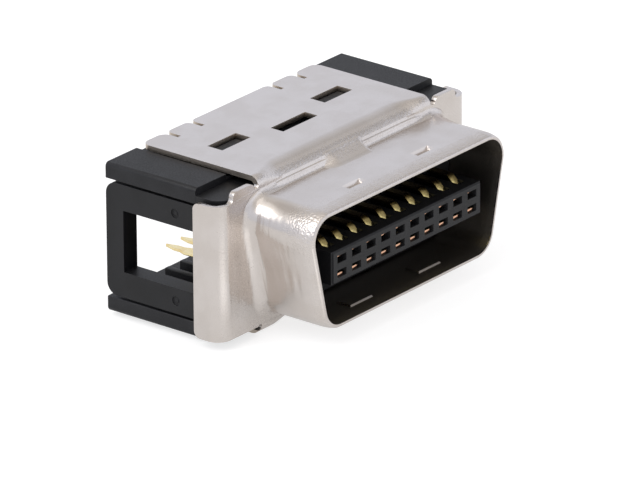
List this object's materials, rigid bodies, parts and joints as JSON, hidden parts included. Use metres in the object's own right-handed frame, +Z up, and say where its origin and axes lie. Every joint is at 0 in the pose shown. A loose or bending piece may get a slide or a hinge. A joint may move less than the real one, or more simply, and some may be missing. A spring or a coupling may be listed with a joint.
{
  "type": "mini delta ribbon connector",
  "caption": "Wire-mount ribbon plug: a D-shaped drawn metal nose on a folded shell, a black body with a contact tongue, open end frames and two clip-on wire covers.",
  "frame": {"origin": "under the middle of the plug, on the plane that its bottom plate rests on", "axes": "+X along the contact rows, -Y out of the nose towards the mating socket, +Z up"},
  "size_m": [0.0218, 0.0128, 0.0092],
  "materials": {
    "shell_nickel": "satin nickel plate on drawn steel",
    "body_black": "fine moulded",
    "cover_black": "fine moulded",
    "contact_gold": "thin gold plate"
  },
  "bodies": {
    "root": {"shell": "shell_nickel", "plug_body": "body_black", "top_cover": "cover_black", "bottom_cover": "cover_black", "contact_top_1": "contact_gold", "contact_top_2": "contact_gold", "contact_top_3": "contact_gold", "contact_top_4": "contact_gold", "contact_top_5": "contact_gold", "contact_top_6": "contact_gold", "contact_top_7": "contact_gold", "contact_top_8": "contact_gold", "contact_top_9": "contact_gold", "contact_top_10": "contact_gold", "contact_bottom_1": "contact_gold", "contact_bottom_2": "contact_gold", "contact_bottom_3": "contact_gold", "contact_bottom_4": "contact_gold", "contact_bottom_5": "contact_gold", "contact_bottom_6": "contact_gold", "contact_bottom_7": "contact_gold", "contact_bottom_8": "contact_gold", "contact_bottom_9": "contact_gold", "contact_bottom_10": "contact_gold"}
  },
  "joints": []
}
